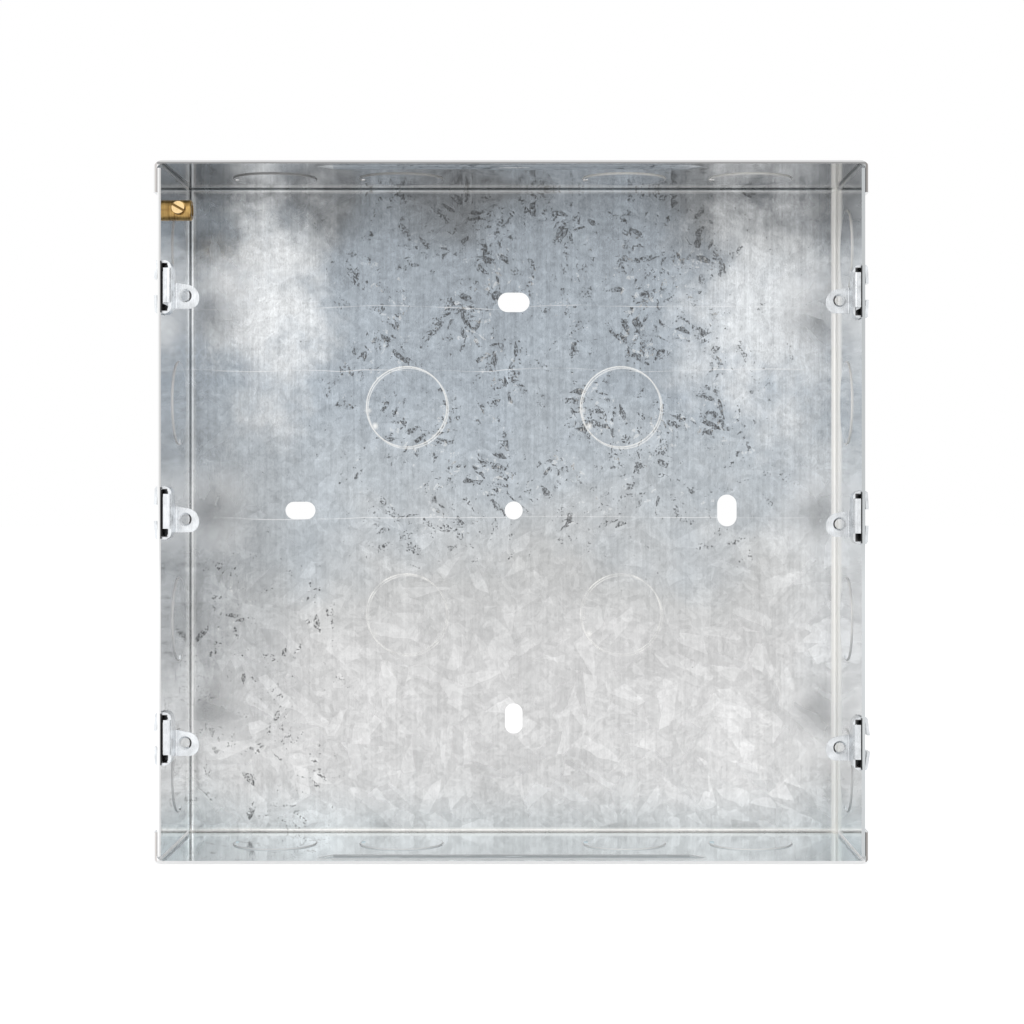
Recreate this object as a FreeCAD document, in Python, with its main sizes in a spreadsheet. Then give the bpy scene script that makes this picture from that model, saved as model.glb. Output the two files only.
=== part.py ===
import FreeCAD, Part
import math
import os
import re
import Sketcher

# A flush back box of folded galvanised sheet, open towards -Y, in millimetres.
# The origin is the centre of the outer face of its back, +Z is up as it stands in a wall,
# and +X is to the right for someone who looks into the box.

doc = FreeCAD.newDocument("flush_back_box")

# Driving dimensions: name, size, meaning
SIZES = [
    ("box_width", 203.0, "outside, across the side walls"),
    ("box_height", 202.0, "outside, across the top and bottom walls"),
    ("box_depth", 57.0, "front rim to the outer face of the back"),
    ("sheet_gauge", 1.0, "thickness of the box's sheet"),
    ("back_bend", 0.9, "inner radius of the bends round the back"),
    ("corner_seam", 0.1, "least gap between two edges that meet at a corner"),
    ("flap_length", 9.2, "corner flap, from the outer face of the wall it grows from"),
    ("flap_bend", 1.6, "inner radius of the corner flap's bend"),
    ("flap_clearance", 0.15, "corner flap to the side wall it laps"),
    ("flap_setback", 5.0, "corner flap's rear end to the outer face of the back"),
    ("knockout_diameter", 25.0, "disc for a 25 mm conduit"),
    ("knockout_step", 0.35, "how far each disc stands proud inside"),
    ("knockout_from_rim", 32.5, "centres in the four walls, behind the rim"),
    ("top_knockout_inner", 33.5, "centres in the top and bottom walls, from the middle"),
    ("top_knockout_outer", 71.5, "centres in the top and bottom walls, from the middle"),
    ("side_knockout_inner", 32.5, "centres in the side walls, from the middle"),
    ("side_knockout_outer", 78.0, "centres in the side walls, from the middle"),
    ("back_knockout_across", 33.3, "centres in the back, from the middle"),
    ("back_knockout_up", 32.25, "centres in the back, from the middle"),
    ("tie_width", 4.0, "uncut bridge that holds each disc"),
    ("tie_reach", 1.6, "bridge's length into the disc"),
    ("centre_hole", 5.6, "round fixing hole in the back"),
    ("slot_from_side", 35.1, "left and right fixing slots, from the side wall's outer face"),
    ("slot_from_end", 36.2, "top and bottom fixing slots, from the end wall's outer face"),
    ("wide_slot_length", 9.9, "top and right fixing slots"),
    ("wide_slot_width", 6.1, "top and right fixing slots"),
    ("slim_slot_length", 9.4, "left and bottom fixing slots"),
    ("slim_slot_width", 5.4, "left and bottom fixing slots"),
    ("bead_length", 113.0, "stiffening bead, tip to tip"),
    ("bead_taper", 5.0, "length of each pointed end of the bead"),
    ("bead_height", 0.75, "how far the bead stands inwards"),
    ("bead_radius", 9.5, "radius of the bead's crest across its length"),
    ("bead_from_rim", 7.2, "bead's centre line, behind the rim"),
    ("lug_from_end", 36.05, "outer lugs' middles, from the end wall's outer face"),
    ("left_lug_shift", 0.25, "left lugs above their even places"),
    ("right_lug_shift", -1.1, "right lugs above their even places"),
    ("lug_gauge", 0.85, "thickness of the lug's strap"),
    ("lug_bend", 0.4, "inner radius of the flange's and the ear's bends"),
    ("left_lug_standoff", 1.95, "side wall to the left lugs' webs"),
    ("right_lug_standoff", 1.5, "side wall to the right lugs' webs"),
    ("lug_front", 0.4, "front flange behind the rim"),
    ("lug_flange_height", 10.0, "front flange and web, along the wall"),
    ("lug_flange_reach", 1.35, "front flange, from the web back towards the side wall"),
    ("upper_leg_reach", 7.2, "upper leg's outer face above the lug's middle"),
    ("lower_leg_reach", 8.1, "lower leg's outer face below the lug's middle"),
    ("strap_front", 1.1, "legs' front edge behind the rim"),
    ("strap_width", 6.0, "legs' width, into the box"),
    ("strap_shoulder", 1.15, "inner radius where the legs leave the web"),
    ("leg_clearance", 0.15, "leg to its slot in the side wall, all round"),
    ("clinch_length", 5.3, "leg folded over outside the wall"),
    ("clinch_gap", 0.1, "folded leg to the outer face of the wall"),
    ("clinch_lift", 3.0, "angle that the folded leg's tip stands off"),
    ("loose_clinch_lift", 8.0, "the same on the bottom right lug"),
    ("ear_from_rim", 8.4, "front face of the screw ear"),
    ("ear_reach", 3.65, "web to the screw ear's hole"),
    ("ear_tip", 7.7, "web to the screw ear's end"),
    ("ear_land", 0.15, "flat between the screw ear's bend and its outline"),
    ("ear_height", 7.5, "screw ear at its root"),
    ("ear_slope", 1.2, "fall of the screw ear's upper edge towards its end"),
    ("ear_upper_round", 3.6, "upper corner of the screw ear's end"),
    ("ear_lower_round", 2.9, "lower corner of the screw ear's end"),
    ("ear_drop", 2.4, "screw ear's hole below the lug's middle"),
    ("ear_hole", 2.9, "core of the lug's screw thread"),
    ("ear_entry", 0.5, "rounded entry of the hole, each way"),
    ("collar_diameter", 4.7, "drawn collar behind the screw ear"),
    ("collar_depth", 1.3, "drawn collar behind the screw ear"),
    ("terminal_from_end", 13.5, "earth terminal's axis, from the top wall's outer face"),
    ("terminal_from_rim", 8.0, "earth terminal's axis behind the rim"),
    ("terminal_diameter", 6.0, "earth terminal's body"),
    ("terminal_length", 7.8, "earth terminal's body from the side wall"),
    ("terminal_edge", 0.35, "earth terminal's turned chamfer"),
    ("terminal_turn", 8.0, "angle that the earth screw points upwards"),
    ("wire_hole", 3.4, "earth terminal's hole for the wire"),
    ("wire_hole_depth", 6.0, "from the earth terminal's free end"),
    ("spigot_diameter", 3.6, "earth terminal's neck in the side wall"),
    ("spigot_clearance", 0.1, "neck to its hole in the side wall"),
    ("rivet_diameter", 5.4, "earth terminal's riveted end outside"),
    ("rivet_height", 0.8, "earth terminal's riveted end outside"),
    ("screw_from_wall", 4.2, "side wall to the earth screw's axis"),
    ("screw_diameter", 3.0, "earth screw's thread"),
    ("screw_clearance", 0.05, "earth screw's thread to its hole"),
    ("screw_tip", 0.5, "screw's tip short of the earth terminal's axis"),
    ("head_diameter", 3.7, "earth screw's head"),
    ("head_height", 1.5, "earth screw's head above the spot face"),
    ("spot_face", 4.4, "flat milled under the earth screw's head"),
    ("spot_face_drop", 0.7, "spot face below the terminal's surface"),
    ("driver_slot_width", 0.7, "earth screw's slot"),
    ("driver_slot_depth", 0.8, "earth screw's slot"),
    ("driver_slot_angle", -30.0, "earth screw's slot as seen from the front"),
]

sheet = doc.addObject("Spreadsheet::Sheet", "sizes")
for row, (alias, size, meaning) in enumerate(SIZES, start=1):
    sheet.set(f"A{row}", alias)
    sheet.set(f"B{row}", str(size))
    sheet.set(f"C{row}", meaning)
    sheet.setAlias(f"B{row}", alias)
doc.recompute()

NAMES = re.compile(r"\b(" + "|".join(alias for alias, size, meaning in SIZES) + r")\b")


def formula(text):
    """The same formula with each size's name pointing at its cell."""
    return NAMES.sub(r"sizes.\1", text)


def number(text):
    """The present value of a formula."""
    found = sheet.evalExpression(NAMES.sub(r"\1", text))
    return float(getattr(found, "Value", found))


def bind(item, prop, text):
    item.setExpression(prop, formula(text))


# Sketch helpers: places are formulas in the sketch's own two directions

def new_body(name):
    body = doc.addObject("PartDesign::Body", name)
    body.Label = name
    return body


def new_sketch(body, name, role, offset="0"):
    """A sketch on one of the body's own planes, moved along that plane's normal."""
    sketch = body.newObject("Sketcher::SketchObject", name)
    plane = next(item for item in body.Origin.OriginFeatures if item.Role == role)
    sketch.AttachmentSupport = [(plane, "")]
    sketch.MapMode = "FlatFace"
    bind(sketch, "AttachmentOffset.Base.z", offset)
    return sketch


def hold(sketch, kind, text, *where):
    """A measured constraint that follows a formula."""
    index = sketch.addConstraint(Sketcher.Constraint(kind, *where, number(text)))
    sketch.setExpression(f"Constraints[{index}]", formula(text))


def hold_point(sketch, geometry, point, across, up):
    hold(sketch, "DistanceX", across, -1, 1, geometry, point)
    hold(sketch, "DistanceY", up, -1, 1, geometry, point)


def circle(sketch, across, up, diameter):
    middle = FreeCAD.Vector(number(across), number(up), 0)
    radius = number(diameter) / 2
    index = sketch.addGeometry(Part.Circle(middle, FreeCAD.Vector(0, 0, 1), radius))
    hold(sketch, "Diameter", diameter, index)
    hold_point(sketch, index, 3, across, up)


def outline(sketch, corners):
    """A closed outline through corners (across, up) or rounded ones (across, up, radius)."""
    count = len(corners)
    places = [FreeCAD.Vector(number(c[0]), number(c[1]), 0) for c in corners]
    radii = [number(c[2]) if len(c) == 3 else 0.0 for c in corners]
    ways = [(places[(i + 1) % count] - places[i]).normalize() for i in range(count)]
    turns = [math.atan2(ways[i - 1].cross(ways[i]).z, ways[i - 1].dot(ways[i])) for i in range(count)]
    cuts = [radii[i] * math.tan(abs(turns[i]) / 2) for i in range(count)]
    lines = []
    for i in range(count):
        after = (i + 1) % count
        start = places[i] + ways[i] * cuts[i]
        end = places[after] - ways[i] * cuts[after]
        lines.append(sketch.addGeometry(Part.LineSegment(start, end)))
    for i, corner in enumerate(corners):
        before, line = lines[i - 1], lines[i]
        if len(corner) == 2:
            sketch.addConstraint(Sketcher.Constraint("Coincident", before, 2, line, 1))
            hold_point(sketch, line, 1, corner[0], corner[1])
            continue
        left = turns[i] > 0
        side = FreeCAD.Vector(-ways[i - 1].y, ways[i - 1].x, 0) * (1 if left else -1)
        middle = places[i] - ways[i - 1] * cuts[i] + side * radii[i]
        first = math.atan2(-side.y, -side.x) if left else math.atan2(-side.y, -side.x) + turns[i]
        round_way = Part.Circle(middle, FreeCAD.Vector(0, 0, 1), radii[i])
        arc = sketch.addGeometry(Part.ArcOfCircle(round_way, first, first + abs(turns[i])))
        entry, leave = (1, 2) if left else (2, 1)
        sketch.addConstraint(Sketcher.Constraint("Tangent", before, 2, arc, entry))
        sketch.addConstraint(Sketcher.Constraint("Tangent", arc, leave, line, 1))
        hold(sketch, "Radius", corner[2], arc)
        tip = sketch.addGeometry(Part.Point(places[i]), True)
        hold_point(sketch, tip, 1, corner[0], corner[1])
        sketch.addConstraint(Sketcher.Constraint("PointOnObject", tip, 1, before))
        sketch.addConstraint(Sketcher.Constraint("PointOnObject", tip, 1, line))


def rectangle(sketch, across, up, wide, high):
    """A rectangle about its middle."""
    left, right = f"{across} - ({wide}) / 2", f"{across} + ({wide}) / 2"
    low, top = f"{up} - ({high}) / 2", f"{up} + ({high}) / 2"
    outline(sketch, [(left, low), (right, low), (right, top), (left, top)])


def slot(sketch, across, up, length, width, upright):
    """A round-ended slot about its middle, lying across or standing upright."""
    reach, radius = f"(({length}) - ({width})) / 2", number(width) / 2
    ahead = FreeCAD.Vector(0, 1, 0) if upright else FreeCAD.Vector(1, 0, 0)
    side = FreeCAD.Vector(-ahead.y, ahead.x, 0) * radius
    middle = FreeCAD.Vector(number(across), number(up), 0)
    lead = math.pi / 2 if upright else 0.0
    ends = [middle + ahead * number(reach), middle - ahead * number(reach)]
    arcs = []
    for turn, end in zip((0.0, math.pi), ends):
        round_way = Part.Circle(end, FreeCAD.Vector(0, 0, 1), radius)
        first = lead + turn - math.pi / 2
        arcs.append(sketch.addGeometry(Part.ArcOfCircle(round_way, first, first + math.pi)))
    far = sketch.addGeometry(Part.LineSegment(ends[0] + side, ends[1] + side))
    near = sketch.addGeometry(Part.LineSegment(ends[1] - side, ends[0] - side))
    for one, two in ((arcs[0], far), (far, arcs[1]), (arcs[1], near), (near, arcs[0])):
        sketch.addConstraint(Sketcher.Constraint("Tangent", one, 2, two, 1))
    sketch.addConstraint(Sketcher.Constraint("Equal", arcs[0], arcs[1]))
    hold(sketch, "Radius", f"({width}) / 2", arcs[0])
    for arc, sign in zip(arcs, ("+", "-")):
        shift = f" {sign} {reach}"
        hold_point(sketch, arc, 3, across + ("" if upright else shift), up + (shift if upright else ""))


def tied_disc(sketch, across, up, upright):
    """A knockout's circle, notched by its tie on the left, or below if upright."""
    ahead = FreeCAD.Vector(0, -1, 0) if upright else FreeCAD.Vector(-1, 0, 0)
    side = FreeCAD.Vector(-ahead.y, ahead.x, 0) * (number("tie_width") / 2)
    middle = FreeCAD.Vector(number(across), number(up), 0)
    radius, floor = number("knockout_diameter / 2"), number("knockout_diameter / 2 - tie_reach")
    half_notch = math.asin(number("tie_width") / 2 / radius)
    lead = math.atan2(ahead.y, ahead.x) + half_notch
    round_way = Part.Circle(middle, FreeCAD.Vector(0, 0, 1), radius)
    arc = sketch.addGeometry(Part.ArcOfCircle(round_way, lead, lead + 2 * (math.pi - half_notch)))
    mouth = ahead * (radius * math.cos(half_notch))
    places = [middle + mouth - side, middle + ahead * floor - side,
              middle + ahead * floor + side, middle + mouth + side]
    lines = [sketch.addGeometry(Part.LineSegment(a, b)) for a, b in zip(places, places[1:])]
    for one, end, two in ((arc, 2, lines[0]), (lines[0], 2, lines[1]), (lines[1], 2, lines[2])):
        sketch.addConstraint(Sketcher.Constraint("Coincident", one, end, two, 1))
    sketch.addConstraint(Sketcher.Constraint("Coincident", lines[2], 2, arc, 1))
    for line in (lines[0], lines[2]):
        sketch.addConstraint(Sketcher.Constraint("Vertical" if upright else "Horizontal", line))
    hold(sketch, "Radius", "knockout_diameter / 2", arc)
    hold_point(sketch, arc, 3, across, up)
    for point, sign in ((1, -1), (2, 1)):
        inward, aside = "- (knockout_diameter / 2 - tie_reach)", "tie_width / 2"
        if upright:
            hold_point(sketch, lines[1], point, f"{across} + {sign} * {aside}", f"{up} {inward}")
        else:
            hold_point(sketch, lines[1], point, f"{across} {inward}", f"{up} + {-sign} * {aside}")


def feature(body, kind, name, sketch, length, reverse=False, both_ways=False):
    """A pad or pocket of a sketch."""
    item = body.newObject(f"PartDesign::{kind}", name)
    item.Profile = sketch
    item.Reversed = reverse
    if both_ways:
        item.SideType = "Symmetric"
    bind(item, "Length", length)
    sketch.Visibility = False
    return item


def turned(body, kind, name, sketch, angle="360"):
    """A revolution or groove about the sketch's own horizontal axis, half of it each way."""
    item = body.newObject(f"PartDesign::{kind}", name)
    item.Profile = sketch
    item.ReferenceAxis = (sketch, ["H_Axis"])
    item.Midplane = True
    bind(item, "Angle", angle)
    sketch.Visibility = False
    return item


# The box: back, side walls, top and bottom walls, corner flaps

box = new_body("box_body")

HALF_WIDE, HALF_HIGH = "box_width / 2", "box_height / 2"
OUTER_BEND = "back_bend + sheet_gauge"


# Half of the top wall's flat width: the corner flaps start to bend there
FLAP_FACE = f"({HALF_WIDE} + flap_clearance)"
FLAT_HALF = f"({FLAP_FACE} - flap_bend)"

# The side wall's end runs as far into the flap's bend as the seam allows
END_GAP = "(flap_bend - sqrt((flap_bend - corner_seam) ^ 2 - (flap_bend - flap_clearance) ^ 2))"


def folded_strip(half, depth):
    """Section of a back with two walls, first direction across it, second along the depth."""
    inner = f"{half} - sheet_gauge"
    return [
        (f"-{half}", f"-{depth}"),
        (f"-({inner})", f"-{depth}"),
        (f"-({inner})", "-sheet_gauge", "back_bend"),
        (inner, "-sheet_gauge", "back_bend"),
        (inner, f"-{depth}"),
        (half, f"-{depth}"),
        (half, "0", OUTER_BEND),
        (f"-{half}", "0", OUTER_BEND),
    ]


# Behind the flaps both pairs of walls run on into the corners, up to the seam
for name, depth, side_height, end_width in (
        ("wall", "box_depth", f"2 * ({HALF_HIGH} - sheet_gauge - {END_GAP})", f"2 * {FLAT_HALF}"),
        ("root", "flap_setback", f"2 * ({HALF_HIGH} - sheet_gauge - corner_seam)",
         f"2 * ({HALF_WIDE} - corner_seam)")):
    sides = new_sketch(box, f"side_{name}_section", "XY_Plane")
    outline(sides, folded_strip(HALF_WIDE, depth))
    feature(box, "Pad", f"side_{name}s", sides, side_height, both_ways=True)
    ends = new_sketch(box, f"end_{name}_section", "YZ_Plane")
    outline(ends, [(corner[1], corner[0], *corner[2:]) for corner in folded_strip(HALF_HIGH, depth)])
    feature(box, "Pad", f"end_{name}s", ends, end_width, both_ways=True)

flaps = new_sketch(box, "corner_flap_sections", "XZ_Plane", "flap_setback")
for side in ("", "-1 * "):
    for end in ("", "-1 * "):
        outline(flaps, [
            (f"{side}({FLAT_HALF} - sheet_gauge)", f"{end}{HALF_HIGH}"),
            (f"{side}({FLAP_FACE} + sheet_gauge)", f"{end}{HALF_HIGH}", "flap_bend + sheet_gauge"),
            (f"{side}({FLAP_FACE} + sheet_gauge)", f"{end}({HALF_HIGH} - flap_length)"),
            (f"{side}{FLAP_FACE}", f"{end}({HALF_HIGH} - flap_length)"),
            (f"{side}{FLAP_FACE}", f"{end}({HALF_HIGH} - sheet_gauge)", "flap_bend"),
            (f"{side}({FLAT_HALF} - sheet_gauge)", f"{end}({HALF_HIGH} - sheet_gauge)"),
        ])
feature(box, "Pad", "corner_flaps", flaps, "box_depth - flap_setback")

# Knockouts: discs half sheared out of the wall, proud of it inside, each held by one uncut tie


def knockouts(wall, role, face, inwards, centres, upright=False):
    """Raised discs of one wall: face is its outer face, inwards the sign of the way in."""
    discs = new_sketch(box, f"{wall}_discs", role, f"{face} + {inwards} * sheet_gauge")
    for across, up in centres:
        tied_disc(discs, across, up, upright)
    feature(box, "Pad", f"{wall}_disc_step", discs, "knockout_step", reverse=inwards < 0)


WALL_DEPTH = "knockout_from_rim - box_depth"
back_centres = [
    (f"{side}back_knockout_across", f"{end}back_knockout_up")
    for side in ("", "-1 * ") for end in ("", "-1 * ")
]
end_centres = [
    (f"{side}{place}", WALL_DEPTH)
    for side in ("", "-1 * ") for place in ("top_knockout_inner", "top_knockout_outer")
]
side_centres = [
    (WALL_DEPTH, f"{end}{place}")
    for end in ("", "-1 * ") for place in ("side_knockout_inner", "side_knockout_outer")
]
knockouts("back", "XZ_Plane", "0", 1, back_centres)
knockouts("top", "XY_Plane", HALF_HIGH, -1, end_centres)
knockouts("bottom", "XY_Plane", f"-{HALF_HIGH}", 1, end_centres)
knockouts("right", "YZ_Plane", HALF_WIDE, -1, side_centres, upright=True)
knockouts("left", "YZ_Plane", f"-{HALF_WIDE}", 1, side_centres, upright=True)

# Fixing holes in the back

fixings = new_sketch(box, "fixing_holes", "XZ_Plane")
circle(fixings, "0", "0", "centre_hole")
slot_across, slot_up = f"({HALF_WIDE} - slot_from_side)", f"({HALF_HIGH} - slot_from_end)"
slot(fixings, "0", slot_up, "wide_slot_length", "wide_slot_width", upright=False)
slot(fixings, slot_across, "0", "wide_slot_length", "wide_slot_width", upright=True)
slot(fixings, f"-{slot_across}", "0", "slim_slot_length", "slim_slot_width", upright=False)
slot(fixings, "0", f"-{slot_up}", "slim_slot_length", "slim_slot_width", upright=True)
feature(box, "Pocket", "fixing_hole_cut", fixings, "sheet_gauge", reverse=True)

# Stiffening beads: long shallow ridges inside, hollow outside, pointed at both ends.
# Each is a slice of a turned bar whose axis lies outside the wall.

BEAD_AXIS = "(bead_radius - bead_height - sheet_gauge)"
RIDGE_HALF_ANGLE = "acos((bead_radius - bead_height) / bead_radius)"
HOLLOW_HALF_ANGLE = f"acos({BEAD_AXIS} / (bead_radius - sheet_gauge))"

for wall, sign in (("top", ""), ("bottom", "-")):
    inwards = "-" if wall == "top" else ""

    def bead_section(name, crest, foot, root):
        """Half section of the turned bar, along the bead and out from the bar's axis."""
        section = new_sketch(box, name, "XZ_Plane", "box_depth - bead_from_rim")
        bind(section, "AttachmentOffset.Base.y", f"{sign}({HALF_HIGH} + {BEAD_AXIS})")
        flat = "(bead_length / 2 - bead_taper)"
        outline(section, [
            ("-bead_length / 2", f"{inwards}({root})"),
            ("bead_length / 2", f"{inwards}({root})"),
            ("bead_length / 2", f"{inwards}({foot})"),
            (flat, f"{inwards}({crest})"),
            (f"-{flat}", f"{inwards}({crest})"),
            ("-bead_length / 2", f"{inwards}({foot})"),
        ])
        return section

    # The ridge's section is rooted a third of the way into the sheet, so that the two join
    root = "bead_radius - bead_height - sheet_gauge / 3"
    ridge = bead_section(f"{wall}_bead_ridge", "bead_radius", "bead_radius - bead_height", root)
    turned(box, "Revolution", f"{wall}_bead", ridge, f"2 * {RIDGE_HALF_ANGLE}")
    hollow = bead_section(f"{wall}_bead_hollow", "bead_radius - sheet_gauge", BEAD_AXIS,
                          f"{BEAD_AXIS} - bead_height")
    turned(box, "Groove", f"{wall}_bead_hollow_cut", hollow, f"2 * {HOLLOW_HALF_ANGLE}")

# Slots in the side walls for the lugs' legs, and the earth terminal's hole

OUTER_LUG = f"({HALF_HIGH} - lug_from_end)"
LUG_ROWS = (("top", OUTER_LUG), ("middle", "0"), ("bottom", f"-{OUTER_LUG}"))
STRAP_MIDDLE = "strap_front + strap_width / 2 - box_depth"

for side, face in (("left", f"-{HALF_WIDE}"), ("right", HALF_WIDE)):
    leg_slots = new_sketch(box, f"{side}_leg_slots", "YZ_Plane", face)
    for row, height in LUG_ROWS:
        for leg in ("+ (upper_leg_reach - lug_gauge / 2)", "- (lower_leg_reach - lug_gauge / 2)"):
            rectangle(leg_slots, STRAP_MIDDLE, f"{height} + {side}_lug_shift {leg}",
                      "strap_width + 2 * leg_clearance", "lug_gauge + 2 * leg_clearance")
    feature(box, "Pocket", f"{side}_leg_slot_cut", leg_slots, "sheet_gauge", reverse=side == "left")

spigot_hole = new_sketch(box, "spigot_hole", "YZ_Plane", f"-{HALF_WIDE}")
TERMINAL_UP = f"{HALF_HIGH} - terminal_from_end"
circle(spigot_hole, "terminal_from_rim - box_depth", TERMINAL_UP,
       "spigot_diameter + 2 * spigot_clearance")
feature(box, "Pocket", "spigot_hole_cut", spigot_hole, "sheet_gauge", reverse=True)

# Lugs, each in its own frame: x from the side wall's inner face into the box,
# y back from the rim, z up from the lug's middle

def lug(side, row):
    """A right lug is a left one's shape turned half round, with its ear and its long leg swapped."""
    name = f"lug_{side}_{row}"
    body = new_body(name)
    web = f"{side}_lug_standoff"
    web_far = f"({web} + lug_gauge)"
    down = 1 if side == "right" else -1
    top, bottom = "upper_leg_reach", "lower_leg_reach"
    if side == "right":
        top, bottom = bottom, top

    # The strap: web, two legs through the wall, and their ends folded over outside
    legs = new_sketch(body, f"{name}_strap_section", "XZ_Plane", "-strap_front")
    lift = "loose_clinch_lift" if (side, row) == ("right", "bottom") else "clinch_lift"
    wall_side = "(sheet_gauge + clinch_gap)"
    far_side = f"({wall_side} + lug_gauge / cos({lift}))"
    near_corner = f"-{wall_side}"
    far_corner = f"-({far_side} - lug_gauge * tan({lift}))"
    near_tip = f"-({wall_side} + (clinch_length - lug_gauge) * tan({lift}))"
    far_tip = f"-({far_side} + (clinch_length - lug_gauge) * tan({lift}))"
    outline(legs, [
        (far_tip, f"{top} - clinch_length"),
        (near_tip, f"{top} - clinch_length"),
        (near_corner, f"{top} - lug_gauge"),
        (web, f"{top} - lug_gauge", "strap_shoulder"),
        (web, f"-({bottom} - lug_gauge)", "strap_shoulder"),
        (near_corner, f"-({bottom} - lug_gauge)"),
        (near_tip, f"-({bottom} - clinch_length)"),
        (far_tip, f"-({bottom} - clinch_length)"),
        (far_corner, f"-{bottom}", "lug_gauge"),
        (web_far, f"-{bottom}", "strap_shoulder + lug_gauge"),
        (web_far, top, "strap_shoulder + lug_gauge"),
        (far_corner, top, "lug_gauge"),
    ])
    feature(body, "Pad", f"{name}_strap", legs, "strap_width", reverse=True)

    # The web's front edge turns out towards the wall as a flange
    front = new_sketch(body, f"{name}_flange_section", "XY_Plane")
    outline(front, [
        (f"{web} - lug_flange_reach", "lug_front"),
        (web_far, "lug_front", "lug_bend + lug_gauge"),
        (web_far, "ear_from_rim"),
        (web, "ear_from_rim"),
        (web, "lug_front + lug_gauge", "lug_bend"),
        (f"{web} - lug_flange_reach", "lug_front + lug_gauge"),
    ])
    feature(body, "Pad", f"{name}_flange", front, "lug_flange_height", both_ways=True)

    # The web's rear edge turns into the box as the screw ear
    middle = f"({down} * ear_drop)"
    root = f"{web_far} + lug_bend + ear_land"
    rear = new_sketch(body, f"{name}_ear_section", "XY_Plane", middle)
    outline(rear, [
        (web_far, "strap_front + strap_width"),
        (web_far, "ear_from_rim", "lug_bend"),
        (root, "ear_from_rim"),
        (root, "ear_from_rim + lug_gauge"),
        (web, "ear_from_rim + lug_gauge", "lug_bend + lug_gauge"),
        (web, "strap_front + strap_width"),
    ])
    feature(body, "Pad", f"{name}_ear_bend", rear, "ear_height", both_ways=True)
    plate = new_sketch(body, f"{name}_ear_outline", "XZ_Plane", "-ear_from_rim")
    lower, upper = f"{middle} + {down} * ear_height / 2", f"{middle} - {down} * ear_height / 2"
    outline(plate, [
        (root, lower),
        (f"{web} + ear_tip", lower, "ear_lower_round"),
        (f"{web} + ear_tip", f"{upper} + {down} * ear_slope", "ear_upper_round"),
        (root, upper),
    ])
    feature(body, "Pad", f"{name}_ear", plate, "lug_gauge", reverse=True)
    screw_axis = f"{web} + ear_reach"
    collar = new_sketch(body, f"{name}_collar_outline", "XZ_Plane", "-ear_from_rim")
    circle(collar, screw_axis, middle, "collar_diameter")
    feature(body, "Pad", f"{name}_collar", collar, "lug_gauge + collar_depth", reverse=True)

    # Threaded hole with a rounded entry
    hole = new_sketch(body, f"{name}_hole_outline", "XZ_Plane", "-ear_from_rim")
    circle(hole, screw_axis, middle, "ear_hole")
    feature(body, "Pocket", f"{name}_hole", hole, "lug_gauge + collar_depth")
    entry = new_sketch(body, f"{name}_entry_outline", "XZ_Plane", "-ear_from_rim")
    circle(entry, screw_axis, middle, "ear_hole + 2 * ear_entry")
    funnel = feature(body, "Pocket", f"{name}_entry", entry, "ear_entry")
    funnel.TaperAngle = -45
    return body


for side, turn in (("left", 0), ("right", 180)):
    for row, height in LUG_ROWS:
        body = lug(side, row)
        body.Placement = FreeCAD.Placement(FreeCAD.Vector(), FreeCAD.Rotation(FreeCAD.Vector(0, 1, 0), turn))
        sign = "-" if side == "left" else ""
        bind(body, "Placement.Base.x", f"{sign}({HALF_WIDE} - sheet_gauge)")
        bind(body, "Placement.Base.y", "-box_depth")
        bind(body, "Placement.Base.z", f"{height} + {side}_lug_shift")

# Earth terminal: its axis is the body's x axis, from the wall's inner face into the box

terminal = new_body("earth_terminal")
rod = new_sketch(terminal, "terminal_section", "XZ_Plane")
outline(rod, [
    ("-(sheet_gauge + rivet_height)", "0"),
    ("terminal_length", "0"),
    ("terminal_length", "terminal_diameter / 2 - terminal_edge"),
    ("terminal_length - terminal_edge", "terminal_diameter / 2"),
    ("0", "terminal_diameter / 2"),
    ("0", "spigot_diameter / 2"),
    ("-sheet_gauge", "spigot_diameter / 2"),
    ("-sheet_gauge", "rivet_diameter / 2"),
    ("-(sheet_gauge + rivet_height)", "rivet_diameter / 2 - rivet_height"),
])
turned(terminal, "Revolution", "terminal_rod", rod)

wire_way = new_sketch(terminal, "wire_way_outline", "YZ_Plane", "terminal_length")
circle(wire_way, "0", "0", "wire_hole")
feature(terminal, "Pocket", "wire_way", wire_way, "wire_hole_depth")

SPOT_FACE = "(terminal_diameter / 2 - spot_face_drop)"
seat = new_sketch(terminal, "spot_face_outline", "XZ_Plane", "terminal_diameter / 2")
circle(seat, "screw_from_wall", "0", "spot_face")
feature(terminal, "Pocket", "spot_face_cut", seat, "spot_face_drop")

screw_way = new_sketch(terminal, "screw_way_outline", "XZ_Plane", SPOT_FACE)
circle(screw_way, "screw_from_wall", "0", "screw_diameter + 2 * screw_clearance")
feature(terminal, "Pocket", "screw_way", screw_way, SPOT_FACE)

# Earth screw: same frame as the terminal, head towards the front

screw = new_body("earth_screw")
for part, diameter, start, length in (
        ("shank", "screw_diameter", SPOT_FACE, f"{SPOT_FACE} - screw_tip"),
        ("head", "head_diameter", SPOT_FACE, "head_height")):
    ring = new_sketch(screw, f"screw_{part}_outline", "XZ_Plane", start)
    circle(ring, "screw_from_wall", "0", diameter)
    feature(screw, "Pad", f"screw_{part}", ring, length, reverse=part == "shank")

driver_slot = new_sketch(screw, "driver_slot_outline", "XZ_Plane", f"{SPOT_FACE} + head_height")
rectangle(driver_slot, "0", "0", "2 * head_diameter", "driver_slot_width")
bind(driver_slot, "AttachmentOffset.Base.x", "screw_from_wall")
bind(driver_slot, "AttachmentOffset.Rotation.Angle", "driver_slot_angle")
feature(screw, "Pocket", "driver_slot", driver_slot, "driver_slot_depth")

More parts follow.
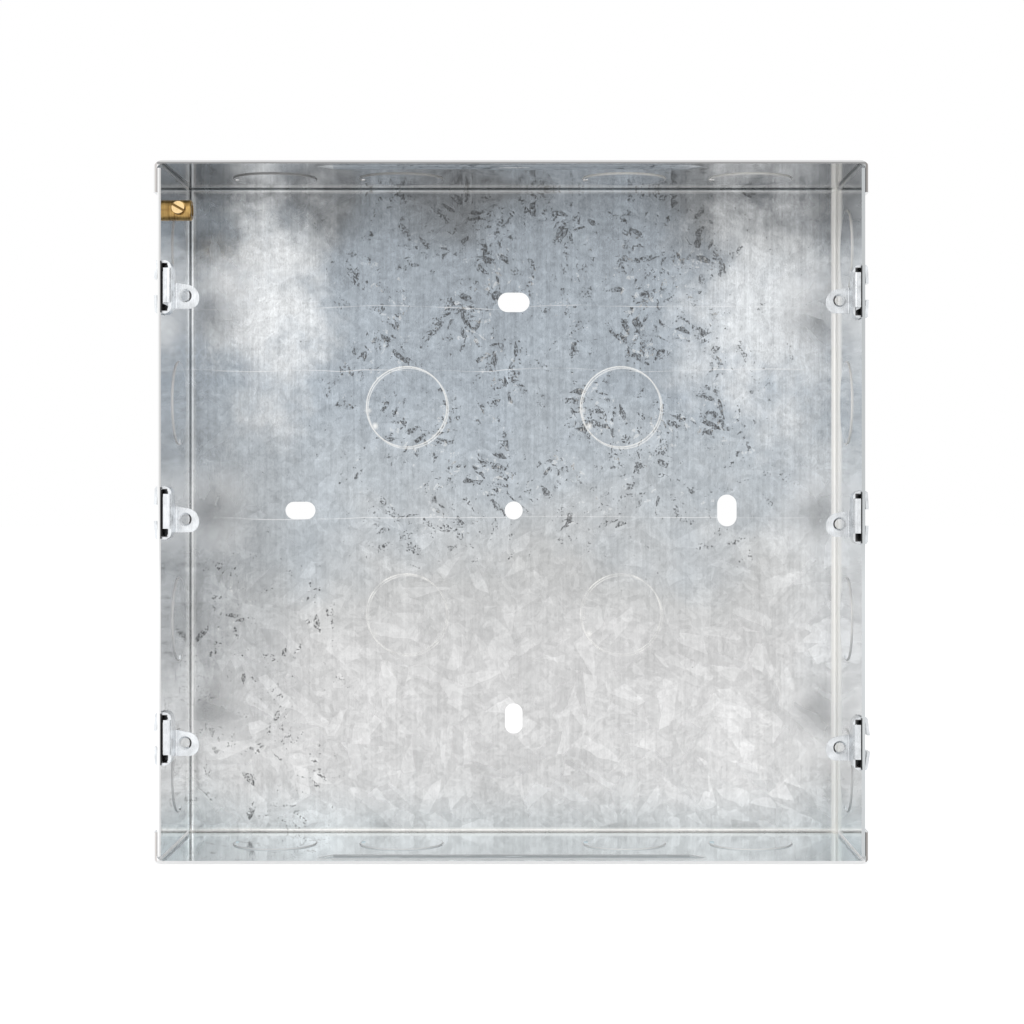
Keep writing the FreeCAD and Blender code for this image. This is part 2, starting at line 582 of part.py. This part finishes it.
for body in (terminal, screw):
    body.Placement = FreeCAD.Placement(FreeCAD.Vector(), FreeCAD.Rotation(FreeCAD.Vector(1, 0, 0), 0))
    bind(body, "Placement.Rotation.Angle", "-terminal_turn")
    bind(body, "Placement.Base.x", f"-({HALF_WIDE} - sheet_gauge)")
    bind(body, "Placement.Base.y", "terminal_from_rim - box_depth")
    bind(body, "Placement.Base.z", TERMINAL_UP)

doc.recompute()

# Checks, then one file for each piece

for item in doc.Objects:
    if "Invalid" in item.State or "Error" in item.State:
        raise RuntimeError(f"{item.Name} failed: {item.State}")

bodies = [item for item in doc.Objects if item.TypeId == "PartDesign::Body"]
for body in bodies:
    if body.Shape.isNull() or not body.Shape.isValid() or len(body.Shape.Solids) != 1:
        raise RuntimeError(f"{body.Label} is not one valid solid")
    volume = 0.0
    for item in body.Group:
        if not item.isDerivedFrom("PartDesign::Feature"):
            continue
        grows = item.TypeId in ("PartDesign::Pad", "PartDesign::Revolution")
        if (item.Shape.Volume > volume) != grows:
            raise RuntimeError(f"{item.Name} changed nothing, or the wrong way")
        volume = item.Shape.Volume

os.makedirs("parts", exist_ok=True)
for body in bodies:
    body.Shape.exportStep(f"parts/{body.Label}.step")
    print(f"{body.Label}: {body.Shape.Volume:.1f} mm3")
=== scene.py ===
import math

import bpy
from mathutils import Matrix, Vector


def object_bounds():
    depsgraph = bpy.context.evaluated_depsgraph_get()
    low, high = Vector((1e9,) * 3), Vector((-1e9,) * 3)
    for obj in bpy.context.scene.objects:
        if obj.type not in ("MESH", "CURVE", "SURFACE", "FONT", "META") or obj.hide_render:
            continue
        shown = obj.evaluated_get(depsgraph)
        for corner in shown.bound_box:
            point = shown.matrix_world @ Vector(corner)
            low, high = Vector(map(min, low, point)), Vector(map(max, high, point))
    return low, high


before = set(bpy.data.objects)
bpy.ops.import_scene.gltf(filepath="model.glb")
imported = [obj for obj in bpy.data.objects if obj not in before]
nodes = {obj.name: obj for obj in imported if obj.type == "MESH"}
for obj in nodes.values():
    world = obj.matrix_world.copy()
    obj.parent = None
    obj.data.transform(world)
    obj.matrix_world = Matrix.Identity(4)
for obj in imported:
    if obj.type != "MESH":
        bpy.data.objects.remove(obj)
cad_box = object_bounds()

# Sizes that the finish follows, in millimetres, as in the part's own dimensions
HALF_WIDE, HALF_HIGH, DEPTH = 101.5, 101.0, 57.0
DISC_RADIUS = 12.5
BACK_DISCS = (33.3, 32.25)
WALL_DISCS_BACK = -24.5
END_DISCS = (33.5, 71.5)
SIDE_DISCS = (32.5, 78.0)
HALF_BEAD = 56.5
LUG_PITCH = 64.95
LUG_SHIFTS = (-0.2, -1.55)
TERMINAL = (-49.0, 87.5)
TERMINAL_TILT = math.radians(8.0)

# Painted highlights, pale patches where the soft boxes' reflections lie: middle across and up, half width,
# half height, strength
PAINTED_HIGHLIGHTS = [
    (-76.0, 66.0, 22.0, 46.0, 0.85),
    (80.0, 62.0, 34.0, 48.0, 0.68),
    (98.0, -10.0, 20.0, 70.0, 0.45),
    (-66.0, -97.0, 26.0, 12.0, 0.6),
]
# Scratches: height and half width
SCRATCHES = [(43.8, 0.22), (-2.2, 0.22), (63.0, 0.18)]

CREAM = (1.0, 0.99, 0.96)
COOL = (0.97, 1.0, 1.03)
BLUISH = (0.90, 1.0, 1.10)


def grey(value, tint=(1.0, 1.0, 1.0)):
    return (value * tint[0], value * tint[1], value * tint[2], 1.0)


class Build:
    """Short calls for making one node tree. A value is a number, a tuple or an output socket."""

    def __init__(self, tree):
        self.tree = tree
        tree.nodes.clear()

    def put(self, socket, value):
        if isinstance(value, bpy.types.NodeSocket):
            self.tree.links.new(value, socket)
        else:
            socket.default_value = value

    def node(self, kind, inputs=None, **settings):
        made = self.tree.nodes.new("ShaderNode" + kind)
        for name, value in settings.items():
            setattr(made, name, value)
        for name, value in (inputs or {}).items():
            self.put(made.inputs[name], value)
        return made

    def math(self, operation, *values, clamp=False):
        made = self.node("Math", operation=operation, use_clamp=clamp)
        for socket, value in zip(made.inputs, values):
            self.put(socket, value)
        return made.outputs[0]

    def add(self, a, b):
        return self.math("ADD", a, b)

    def less(self, a, b):
        """a without b."""
        return self.math("SUBTRACT", a, b)

    def times(self, first, *others):
        for other in others:
            first = self.math("MULTIPLY", first, other)
        return first

    def times_add(self, a, b, c):
        return self.math("MULTIPLY_ADD", a, b, c)

    def centred(self, value):
        """A random value from 0 to 1, moved to lie about 0."""
        return self.less(value, 0.5)

    def rest(self, value):
        return self.less(1.0, value)

    def size(self, value):
        return self.math("ABSOLUTE", value)

    def over(self, value, limit):
        return self.math("GREATER_THAN", value, limit)

    def under(self, value, limit):
        return self.math("LESS_THAN", value, limit)

    def highest(self, first, *others):
        for other in others:
            first = self.math("MAXIMUM", first, other)
        return first

    def step(self, value, start, end, low=0.0, high=1.0, smooth=True):
        """low up to start, high from end on, with a smooth or an even change between them."""
        made = self.node("MapRange", interpolation_type="SMOOTHSTEP" if smooth else "LINEAR")
        for socket, given in zip(made.inputs, (value, start, end, low, high)):
            self.put(socket, given)
        return made.outputs[0]

    def near(self, a, b, reach):
        """1 where a is at b, down to 0 a reach away."""
        return self.step(self.size(self.less(a, b)), reach, 0.0)

    def vector(self, operation, *values, scale=None):
        made = self.node("VectorMath", operation=operation)
        for socket, value in zip(made.inputs, values):
            self.put(socket, value)
        if scale is not None:
            self.put(made.inputs["Scale"], scale)
        return made.outputs["Value" if operation == "LENGTH" else "Vector"]

    def parts(self, vector):
        made = self.node("SeparateXYZ", {"Vector": vector})
        return made.outputs["X"], made.outputs["Y"], made.outputs["Z"]

    def bundle(self, x, y, z=0.0):
        return self.node("CombineXYZ", {"X": x, "Y": y, "Z": z}).outputs[0]

    def place(self):
        """The place on the part, in millimetres."""
        metres = self.node("TexCoord").outputs["Object"]
        return self.parts(self.vector("SCALE", metres, scale=1000.0))

    def across_faces(self):
        """How far the face looks sideways, and how far up."""
        sideways, _, upwards = self.parts(self.node("NewGeometry").outputs["True Normal"])
        return sideways, upwards

    def noise(self, place, scale, detail=2.0, roughness=0.5, output="Fac"):
        made = self.node("TexNoise", {"Vector": place, "Scale": scale, "Detail": detail,
                                      "Roughness": roughness}, noise_dimensions="2D")
        return made.outputs[output]

    def cells(self, place, scale):
        """Three random values, the same all over each cell."""
        made = self.node("TexVoronoi", {"Vector": place, "Scale": scale}, voronoi_dimensions="2D")
        return self.parts(made.outputs["Color"])

    def ramp(self, value, stops):
        """The colours of the stops (value, colour), blended between them."""
        made = self.node("ValToRGB", {"Fac": value})
        points = made.color_ramp.elements
        while len(points) < len(stops):
            points.new(0.5)
        for point, (position, colour) in zip(points, stops):
            point.position = position
            point.color = colour
        return made.outputs["Color"]

    def blend(self, factor, a, b, kind="MIX"):
        """Colour b over colour a."""
        made = self.node("Mix", data_type="RGBA", blend_type=kind, clamp_factor=True)
        self.put(made.inputs["Factor"], factor)
        self.put(made.inputs["A"], a)
        self.put(made.inputs["B"], b)
        return made.outputs["Result"]

    def finish(self, shader, output="OutputMaterial"):
        self.put(self.node(output).inputs["Surface"], shader.outputs[0])


def new_material(name):
    material = bpy.data.materials.new(name)
    material.use_nodes = True
    return material, Build(material.node_tree)


def shards(build, sheet, jitter, grain, width, stretch, bend):
    """Zinc crystals: within each grain the long shards point one way. Gives two random values."""
    bent = build.vector("ADD", sheet, build.vector("SCALE", jitter, scale=bend * grain))
    angle = build.times(build.cells(bent, 1.0 / grain)[0], 2 * math.pi)
    spun = build.node("VectorRotate", {"Vector": bent, "Angle": angle}, rotation_type="Z_AXIS").outputs[0]
    drawn = build.vector("MULTIPLY", spun, (1.0, 1.0 / stretch, 1.0))
    return build.cells(drawn, 1.0 / width)[:2]


def disc_rings(build, x, y, z, width):
    """1 on the edges of the sheared discs: those of the back, then of the end and the side walls."""
    def ring(across, up):
        return build.near(build.vector("LENGTH", build.bundle(across, up)), DISC_RADIUS, width)

    def from_middles(value, inner, outer):
        """Distance to the nearer of two places, on either side of the box's middle."""
        side = build.size(value)
        return build.math("MINIMUM", build.size(build.less(side, inner)), build.size(build.less(side, outer)))

    across = build.times_add(build.math("SIGN", x), -BACK_DISCS[0], x)
    up = build.times_add(build.math("SIGN", z), -BACK_DISCS[1], z)
    # On the back, a second ring and two spots by the tie are painted highlights
    doubled = ring(build.add(across, -0.45), build.add(up, 0.5))
    tie = build.times(build.near(across, -12.0, 1.6), build.near(up, -1.2, 1.2))
    painted_glint = build.times(build.near(across, -9.8, 1.3), build.near(up, -6.0, 1.5))
    back = build.highest(ring(across, up), build.times(doubled, 0.6), build.times(tie, 0.6), painted_glint)
    behind = build.add(y, -WALL_DISCS_BACK)
    ends, sides = ring(from_middles(x, *END_DISCS), behind), ring(from_middles(z, *SIDE_DISCS), behind)
    return (build.times(back, build.over(y, -3.0)),
            build.times(ends, build.over(build.size(z), HALF_HIGH - 3.0)),
            build.times(sides, build.over(build.size(x), HALF_WIDE - 3.0)))


def behind_lugs(build, x, y, z):
    """1 on the patches of side wall that the lugs keep in the dark, and the height from a lug's middle."""
    height = build.size(build.less(z, build.step(x, -1.0, 1.0, *LUG_SHIFTS)))
    height = build.math("MINIMUM", height, build.size(build.less(height, LUG_PITCH)))
    inside = build.times(build.under(height, 7.4), build.under(build.size(x), HALF_WIDE - 0.8))
    beside_flange = build.times(build.over(height, 4.6), build.step(y, -43.5, -45.0))
    return build.times(inside, build.highest(beside_flange, build.step(y, -53.0, -54.0))), height


class Sheet:
    """The finish of the folded sheet, painted in layers, some of them painted light and shade."""

    def __init__(self):
        self.material, self.build = new_material("galvanised_sheet")
        build = self.build
        self.x, self.y, self.z = x, y, z = build.place()
        self.wide, self.high = wide, high = build.size(x), build.size(z)
        sideways, upwards = build.across_faces()
        on_sides = build.over(build.size(sideways), 0.7)
        self.on_ends = build.over(build.size(upwards), 0.7)
        self.on_back = build.step(y, -4.0, -1.5)
        self.outside_walls = build.highest(build.over(wide, HALF_WIDE - 0.3),
                                           build.over(high, HALF_HIGH - 0.3))
        outer_bends = build.highest(build.over(build.add(wide, y), HALF_WIDE - 2.2),
                                    build.over(build.add(high, y), HALF_HIGH - 2.2))
        self.outside = build.highest(build.over(y, -0.3), self.outside_walls, outer_bends)
        self.inside = build.rest(self.outside)
        self.rim = build.under(y, 0.05 - DEPTH)

        # Place on the flat sheet before it was folded
        across = build.times_add(build.times(build.math("SIGN", x), y), build.times(on_sides, -1.0), x)
        up = build.times_add(build.times(build.math("SIGN", z), y), build.times(self.on_ends, -1.0), z)
        self.flat = build.bundle(across, up)
        self.drift = build.noise(self.flat, 0.02, detail=3.0)
        self.cloud = build.noise(self.flat, 0.06, detail=4.0, roughness=0.6)
        self.jitter = build.noise(self.flat, 0.16, output="Color")
        self.hatch = build.noise(build.vector("MULTIPLY", self.flat, (1.0, 0.4, 1.0)), 2.4, roughness=0.7)
        self.large = shards(build, self.flat, self.jitter, 16.0, 3.6, 3.0, 0.1)
        self.middle = shards(build, self.flat, self.jitter, 9.0, 1.5, 2.6, 0.15)
        self.small = shards(build, self.flat, self.jitter, 5.0, 0.9, 2.2, 0.25)

    def paint(self, amount, tone):
        self.colour = self.build.blend(amount, self.colour, tone)

    # Paints one pale patch on the back with ragged edges: a painted highlight
    def painted_highlight(self, across, up, half_wide, half_high, strength):
        build = self.build
        aside = build.math("DIVIDE", build.less(self.x, across), half_wide)
        above = build.math("DIVIDE", build.less(self.z, up), half_high)
        away = build.vector("LENGTH", build.bundle(aside, above))
        return build.step(build.times_add(build.centred(self.cloud), 1.6, away), 1.15, 0.1, 0.0, strength)

    def tones(self):
        """Bluish and dark at the top, pale and neutral low down: partly the zinc's own patina, partly painted
        shade and reflection. Pale patches are painted highlights, and the darker left edge is painted shade.
        """
        build = self.build
        height = build.times_add(build.centred(self.drift), 70.0, self.z)
        back = build.ramp(build.step(height, -100.0, 100.0, smooth=False), [
            (0.0, grey(0.71)), (0.10, grey(0.61)), (0.30, grey(0.56)), (0.40, grey(0.505, (0.99, 1.0, 1.0))),
            (0.52, grey(0.48, (0.93, 1.0, 1.06))), (0.72, grey(0.44, BLUISH)), (0.90, grey(0.36, BLUISH)),
            (1.0, grey(0.20, (0.95, 1.0, 1.05)))])
        # Painted highlights: the pale patches over the back
        pale = build.highest(*[self.painted_highlight(*spot) for spot in PAINTED_HIGHLIGHTS])
        back = build.blend(pale, back, grey(0.86, (0.98, 1.0, 1.01)))
        # Painted shade: the back darker along its left edge
        shaded_left = build.times(build.step(self.x, -58.0, -80.0), build.near(self.z, -16.0, 74.0))
        back = build.blend(build.times(shaded_left, 0.72), back, grey(0.38, (0.96, 1.0, 1.03)))
        # Painted light and shade on the walls: pale on the bottom wall, darker on the top wall
        walls = build.ramp(build.step(self.z, -100.0, 100.0, smooth=False), [
            (0.0, grey(0.76, (0.90, 1.0, 1.04))), (0.08, grey(0.80, (0.98, 1.0, 1.01))),
            (0.35, grey(0.71, COOL)), (0.75, grey(0.66, COOL)), (0.90, grey(0.78, COOL)), (0.99, grey(0.61))])
        walls = build.blend(self.outside_walls, walls, grey(0.5, (0.95, 1.0, 1.04)))
        self.colour = build.blend(self.on_back, walls, back)

    def spangle(self):
        """Crystals in three sizes, with mottling and the fine streaks of rolling."""
        build = self.build
        low = build.step(self.z, 40.0, -30.0)
        streak = build.noise(build.vector("MULTIPLY", self.flat, (1.0, 0.03, 1.0)), 0.9, roughness=0.7)
        mottle = build.noise(self.flat, 0.33, detail=3.0, roughness=0.6)
        grain = build.times_add(low, -0.25, 0.42)
        light = 0.94
        for value, amount in (
                (build.step(self.large[0], 0.5, 1.0, smooth=False), build.times_add(low, 0.13, 0.04)),
                (build.step(self.middle[0], 0.5, 1.0, smooth=False), 0.10),
                (build.centred(self.small[0]), 0.13),
                (build.centred(streak), build.times_add(low, -0.16, 0.38)),
                (build.centred(self.hatch), grain),
                (build.centred(mottle), grain),
                (build.centred(self.cloud), 0.24)):
            light = build.times_add(value, amount, light)
        light = build.times_add(build.highest(self.on_back, self.outside_walls), build.add(light, -1.0), 1.0)
        self.colour = build.blend(1.0, self.colour, build.bundle(light, light, light), kind="MULTIPLY")

    def flecks(self):
        """Dark, hatched and broken, thick in the upper middle of the back, with a few light chips."""
        build, x, z = self.build, self.x, self.z
        upper = build.times(build.step(z, -40.0, 12.0),
                            build.step(build.size(build.add(x, -12.0)), 95.0, 45.0))
        lower_left = build.times(build.step(x, -48.0, -62.0), build.step(z, 0.0, -20.0, 0.0, 0.7))
        crowd = build.times(build.highest(upper, lower_left), build.step(self.cloud, 0.40, 0.60, 0.35, 1.0))
        speckle = build.noise(self.flat, 1.3, detail=1.0, roughness=0.6)
        ragged = build.times_add(crowd, 0.30, build.times(build.centred(speckle), 0.5))
        broken = build.step(self.hatch, 0.36, 0.60, 0.25, 1.0)
        for amount, share in ((self.small[1], 1.18), (self.middle[1], 1.12)):
            fleck = build.step(build.add(ragged, amount), share, share + 0.06)
            self.paint(build.times(fleck, broken, 0.95), grey(0.07, (0.98, 1.0, 1.03)))
        chips = build.step(build.add(ragged, self.small[0]), 1.23, 1.25)
        self.paint(build.times(chips, build.step(z, 92.0, 70.0, 0.0, 0.3)), grey(0.85, CREAM))

    def scratches(self):
        """Long fine lines across the back."""
        build = self.build
        wander = build.times_add(build.centred(self.drift), 4.0, self.z)
        lines = build.highest(*[build.near(wander, height, half) for height, half in SCRATCHES])
        self.paint(build.times(lines, self.on_back, build.step(self.cloud, 0.35, 0.6, 0.1, 0.55)), grey(0.85))

    def rings(self):
        """Sheared edges of the discs: painted highlights inside, steps painted grey with painted shade darker
        on the top wall, and dark cut lines outside. Gives where they are matt.
        """
        build, x, z = self.build, self.x, self.z
        back, ends, sides = disc_rings(build, x, self.y, z, 0.35)
        cuts = build.times(build.highest(back, ends, sides), self.outside)
        steps = build.times(build.highest(ends, sides), self.inside)
        painted_sheen = build.step(build.times_add(z, 0.004, build.parts(self.jitter)[0]), 0.30, 0.50, 0.25, 0.75)
        # The painted highlights fade where less light falls: faint on the left of the end walls and on the
        # left side wall
        ends = build.times(ends, build.step(x, -70.0, 60.0, 0.05, 1.0))
        sides = build.times(sides, build.step(x, -1.0, 1.0, 0.25, 0.8))
        bright = build.times(build.highest(back, ends, sides), painted_sheen, self.inside)
        # Painted shade on the steps, then painted highlights over the rings
        self.paint(steps, build.blend(build.step(z, 60.0, 96.0), grey(0.72), grey(0.35)))
        self.paint(bright, grey(1.0, CREAM))
        self.paint(build.times(cuts, 0.85), grey(0.06))
        return build.highest(build.times(bright, 0.6), build.times(steps, 0.9))

    def beads(self):
        """A dark line along each bead, painted shade on its far slope, between two light lines painted as
        highlights on its shoulders. Gives where it is matt.
        """
        build, y, z = self.build, self.y, self.z
        length = build.step(self.wide, HALF_BEAD + 0.5, HALF_BEAD - 1.5)
        on_bead = build.times(self.on_ends, length, self.inside)
        painted_glint = build.highest(build.near(y, -48.2, 1.2), build.near(y, -53.8, 1.3))
        painted_glint = build.times(on_bead, painted_glint, build.step(z, 1.0, -1.0, 0.15, 0.9))
        groove = build.step(build.size(build.add(y, 51.2)), 1.9, 0.9)
        # Painted highlights on the shoulders, then painted shade along the groove
        self.paint(painted_glint, grey(0.97))
        self.paint(build.times(on_bead, groove, build.step(z, 1.0, -1.0, 0.2, 0.45)), grey(0.2))
        return build.times(painted_glint, 0.6)

    def bends(self):
        """Light bends round the back, painted highlights, the right one brightest. Gives where it is matt."""
        build, x, z = self.build, self.x, self.z
        sides = build.times(build.step(self.wide, 98.6, 99.2), build.step(x, -99.0, 99.0, 0.2, 0.95))
        ends = build.times(build.step(self.high, 98.4, 98.9), build.step(z, 99.0, -99.0, 0.15, 0.6))
        # Painted highlight along the right bend
        bright = build.times(build.step(x, 98.6, 99.2), build.step(self.y, -5.5, -4.5), self.inside, 0.9)
        painted_sheen = build.times(build.highest(sides, ends), self.on_back, self.inside)
        self.paint(build.highest(painted_sheen, bright), grey(0.95, CREAM))
        return build.times(bright, 0.5)

    def cut_edges(self):
        """The rim's tones along its four sides and on the corner flaps: pale cut steel with painted light and
        shade, each side its own tone, a dark line painted along the top's outer edge and the right flap
        darker.
        """
        build, x, z, wide = self.build, self.x, self.z, self.wide
        left = build.blend(build.step(wide, 100.6, 101.4), grey(0.60), grey(0.97))
        tone = build.blend(build.step(x, 97.0, -97.0), grey(0.55, (0.96, 1.0, 1.02)), left)
        tone = build.blend(build.step(z, -99.5, -100.2), tone, grey(0.74))
        top = build.blend(build.step(z, 100.35, 100.65), grey(0.33), grey(0.74))
        tone = build.blend(build.step(z, 99.6, 100.0), tone, top)
        left_flap, right_flap = grey(0.62, (1.04, 1.0, 0.98)), grey(0.28, (1.06, 1.0, 0.96))
        flap = build.blend(build.step(x, -1.0, 1.0), left_flap, right_flap)
        flap = build.blend(build.step(wide, 102.15, 102.4), flap, grey(0.95))
        self.paint(self.rim, build.blend(build.step(wide, 101.5, 101.7), tone, flap))

    def folds(self):
        """Where the end walls turn down outside the side walls, painted pale as painted light, paler at the
        bottom than at the top. Gives where it is matt.
        """
        build = self.build
        folded = build.times(build.over(self.wide, 100.52), build.over(self.high, 97.9), self.inside,
                             build.rest(self.rim))
        self.paint(folded, build.blend(build.step(self.z, -1.0, 1.0), grey(0.98), grey(0.72)))
        return build.times(folded, 0.4)

    def lug_shade(self):
        """Painted shade on the wall behind the lugs, and the back painted paler where their shade would fall,
        as painted light. Gives the painted shade.
        """
        build = self.build
        dark, row = behind_lugs(build, self.x, self.y, self.z)
        # Painted light on the back beside the lugs
        paler = build.times(build.step(row, 18.0, 4.0), build.step(self.wide, 78.0, 92.0), self.on_back)
        self.paint(build.times(paler, 0.4), grey(0.85))
        self.paint(build.times(dark, 0.93), grey(0.04))
        return dark

    def finished(self):
        build = self.build
        self.tones()
        self.spangle()
        self.flecks()
        self.scratches()
        matt = build.highest(self.rings(), self.beads(), self.bends())
        self.cut_edges()
        matt = build.highest(matt, self.folds())
        lit = build.rest(self.lug_shade())
        rough = build.times_add(self.on_back, build.times_add(self.large[1], 0.08, 0.12), 0.09)
        build.finish(build.node("BsdfPrincipled", {
            "Base Color": self.colour,
            "Metallic": build.times(build.rest(matt), lit),
            "Specular IOR Level": build.times(lit, 0.5),
            "Roughness": build.times_add(matt, 0.5, rough),
        }))
        return self.material


def bright_zinc():
    """Smooth plated lugs, less shiny and with painted shade towards the wall."""
    material, build = new_material("bright_zinc")
    x, y, z = build.place()
    wide = build.size(x)
    strap = build.bundle(build.add(x, y), z)
    cloud = build.noise(strap, 0.35, detail=3.0)
    grain = build.noise(build.vector("MULTIPLY", strap, (1.0, 0.15, 1.0)), 2.5)
    tone = build.times_add(grain, 0.12, build.step(x, -1.0, 1.0, 0.48, 0.38))
    tone = build.times_add(cloud, 0.45, tone)
    colour = build.bundle(build.times(tone, 0.97), tone, build.times(tone, 1.03))

    # Painted shade: dark on the side towards the wall and between the legs
    to_wall = build.over(build.times(build.across_faces()[0], build.math("SIGN", x)), 0.5)
    hidden = build.times(to_wall, build.under(wide, HALF_WIDE))
    _, row = behind_lugs(build, x, y, z)
    between = build.times(build.over(wide, 98.8), build.under(wide, HALF_WIDE - 1.0),
                          build.step(row, 7.0, 6.8), build.step(y, -56.3, -56.0))
    dark = build.highest(hidden, between)
    lit = build.rest(dark)
    build.finish(build.node("BsdfPrincipled", {
        "Base Color": build.blend(build.times(dark, 0.92), colour, grey(0.04, (1.1, 0.95, 0.95))),
        "Metallic": build.times(lit, 0.9),
        "Specular IOR Level": build.times(lit, 0.5),
        "Roughness": build.times_add(grain, 0.15, 0.2),
    }))
    return material


def turned_brass(name, light, dark, head=False):
    """Brass with the rings that turning leaves. On the screw only the head's face is light."""
    material, build = new_material(name)
    x, y, z = build.place()
    rings = build.noise(build.bundle(x, build.times(z, 0.05)), 1.8, detail=3.0, roughness=0.7)
    stain = build.noise(build.bundle(x, z), 0.5, detail=3.0)
    share = build.add(build.times(rings, 0.7), build.times(stain, 0.5))
    if head:
        ahead = build.times(build.less(TERMINAL[0], y), math.cos(TERMINAL_TILT))
        reach = build.times_add(build.add(z, -TERMINAL[1]), math.sin(TERMINAL_TILT), ahead)
        share = build.times(build.step(reach, 3.3, 3.6), build.add(share, 0.3))
    build.finish(build.node("BsdfPrincipled", {
        "Base Color": build.blend(build.step(share, 0.25, 0.95), dark, light),
        "Metallic": 1.0,
        "Roughness": build.times_add(stain, 0.2, 0.22),
    }))
    return material


def dress(names, material):
    for name in names:
        mesh = nodes[name].data
        mesh.materials.clear()
        mesh.materials.append(material)


dress(["box_body"], Sheet().finished())
dress([name for name in nodes if name.startswith("lug_")], bright_zinc())
dress(["earth_terminal"], turned_brass("brass", (0.62, 0.41, 0.15, 1.0), (0.20, 0.11, 0.035, 1.0)))
dress(["earth_screw"],
      turned_brass("screw_brass", (0.66, 0.48, 0.25, 1.0), (0.18, 0.11, 0.04, 1.0), head=True))

# Floor, seen white, which keeps the box's shadow

FLOOR_RADIUS, FLOOR_CORNERS = 6.0, 64


def seen_or_mirrored(build):
    """1 for rays from the camera and for those that a shiny or clear surface sends on."""
    path = build.node("LightPath")
    seen = build.add(path.outputs["Is Camera Ray"], path.outputs["Is Glossy Ray"])
    return build.math("ADD", seen, path.outputs["Is Transmission Ray"], clamp=True)


turns = [2 * math.pi * corner / FLOOR_CORNERS for corner in range(FLOOR_CORNERS)]
edge = [(FLOOR_RADIUS * math.cos(turn), FLOOR_RADIUS * math.sin(turn), cad_box[0][2]) for turn in turns]
mesh = bpy.data.meshes.new("floor")
mesh.from_pydata(edge, [], [tuple(range(FLOOR_CORNERS))])
floor = bpy.data.objects.new("floor", mesh)
bpy.context.scene.collection.objects.link(floor)
material, build = new_material("floor")
glow = build.node("Emission", {"Color": grey(1.0), "Strength": build.times(seen_or_mirrored(build), 0.5)})
both = build.node("AddShader")
build.put(both.inputs[0], build.node("BsdfDiffuse", {"Color": grey(0.85)}).outputs[0])
build.put(both.inputs[1], glow.outputs[0])
build.finish(both)
material.cycles.emission_sampling = "NONE"
mesh.materials.append(material)

# Light: a white room and two soft boxes in front

world = bpy.data.worlds.new("room")
bpy.context.scene.world = world
world.use_nodes = True
build = Build(world.node_tree)
room = build.node("MixShader", {"Fac": seen_or_mirrored(build)})
for socket, strength in zip(room.inputs[1:], (0.7, 1.0)):
    build.put(socket, build.node("Background", {"Color": grey(1.0), "Strength": strength}).outputs[0])
build.finish(room, "OutputWorld")


def soft_box(name, place, width, height, watts):
    """A lamp that faces the origin."""
    lamp = bpy.data.lights.new(name, "AREA")
    lamp.shape = "RECTANGLE"
    lamp.size = width
    lamp.size_y = height
    lamp.energy = watts
    holder = bpy.data.objects.new(name, lamp)
    holder.location = place
    holder.rotation_euler = (-Vector(place)).to_track_quat("-Z", "Y").to_euler()
    bpy.context.scene.collection.objects.link(holder)


soft_box("left_soft_box", (-1.2, -2.2, 1.0), 0.9, 1.2, 12)
soft_box("right_soft_box", (1.2, -2.2, 0.9), 0.9, 1.2, 8)

# Camera, level, a little right of and above the box's middle

camera = bpy.data.cameras.new("camera")
camera.lens = 80.3
camera.sensor_width = 36.0
camera.shift_x = -0.029
camera.shift_y = -0.0216
holder = bpy.data.objects.new("camera", camera)
holder.location = (0.00872, -0.712, 0.00641)
holder.rotation_euler = (math.radians(90), 0, 0)
bpy.context.scene.collection.objects.link(holder)
bpy.context.scene.camera = holder

bpy.context.scene.view_settings.view_transform = "Standard"
